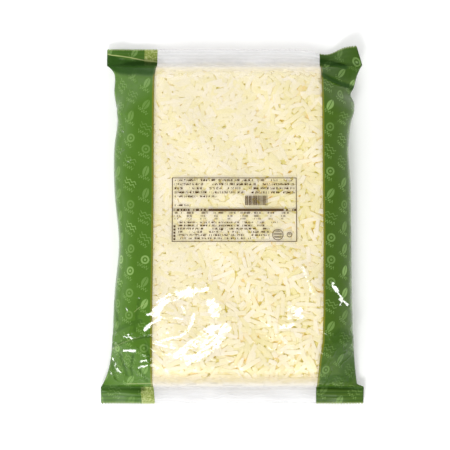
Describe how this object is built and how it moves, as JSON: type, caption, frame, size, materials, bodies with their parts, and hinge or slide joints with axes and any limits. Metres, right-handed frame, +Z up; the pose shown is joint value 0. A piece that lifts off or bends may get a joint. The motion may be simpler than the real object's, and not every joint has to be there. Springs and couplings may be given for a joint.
{
  "type": "bag of shredded pizza cheese",
  "caption": "Filled catering pillow bag of shredded cheese lying on its back, with crimped end seals, round sides and one lifted corner.",
  "frame": {"origin": "middle of the bag's box at its base, on the surface that the bag lies on", "axes": "+Z up out of the shown face, +Y along the bag towards the end with the lifted corner, +X across the bag"},
  "size_m": [0.302, 0.412, 0.0564],
  "materials": {
    "film": "gloss",
    "cheese": "satin"
  },
  "bodies": {
    "root": {"cheese_bag": "film"}
  },
  "joints": []
}
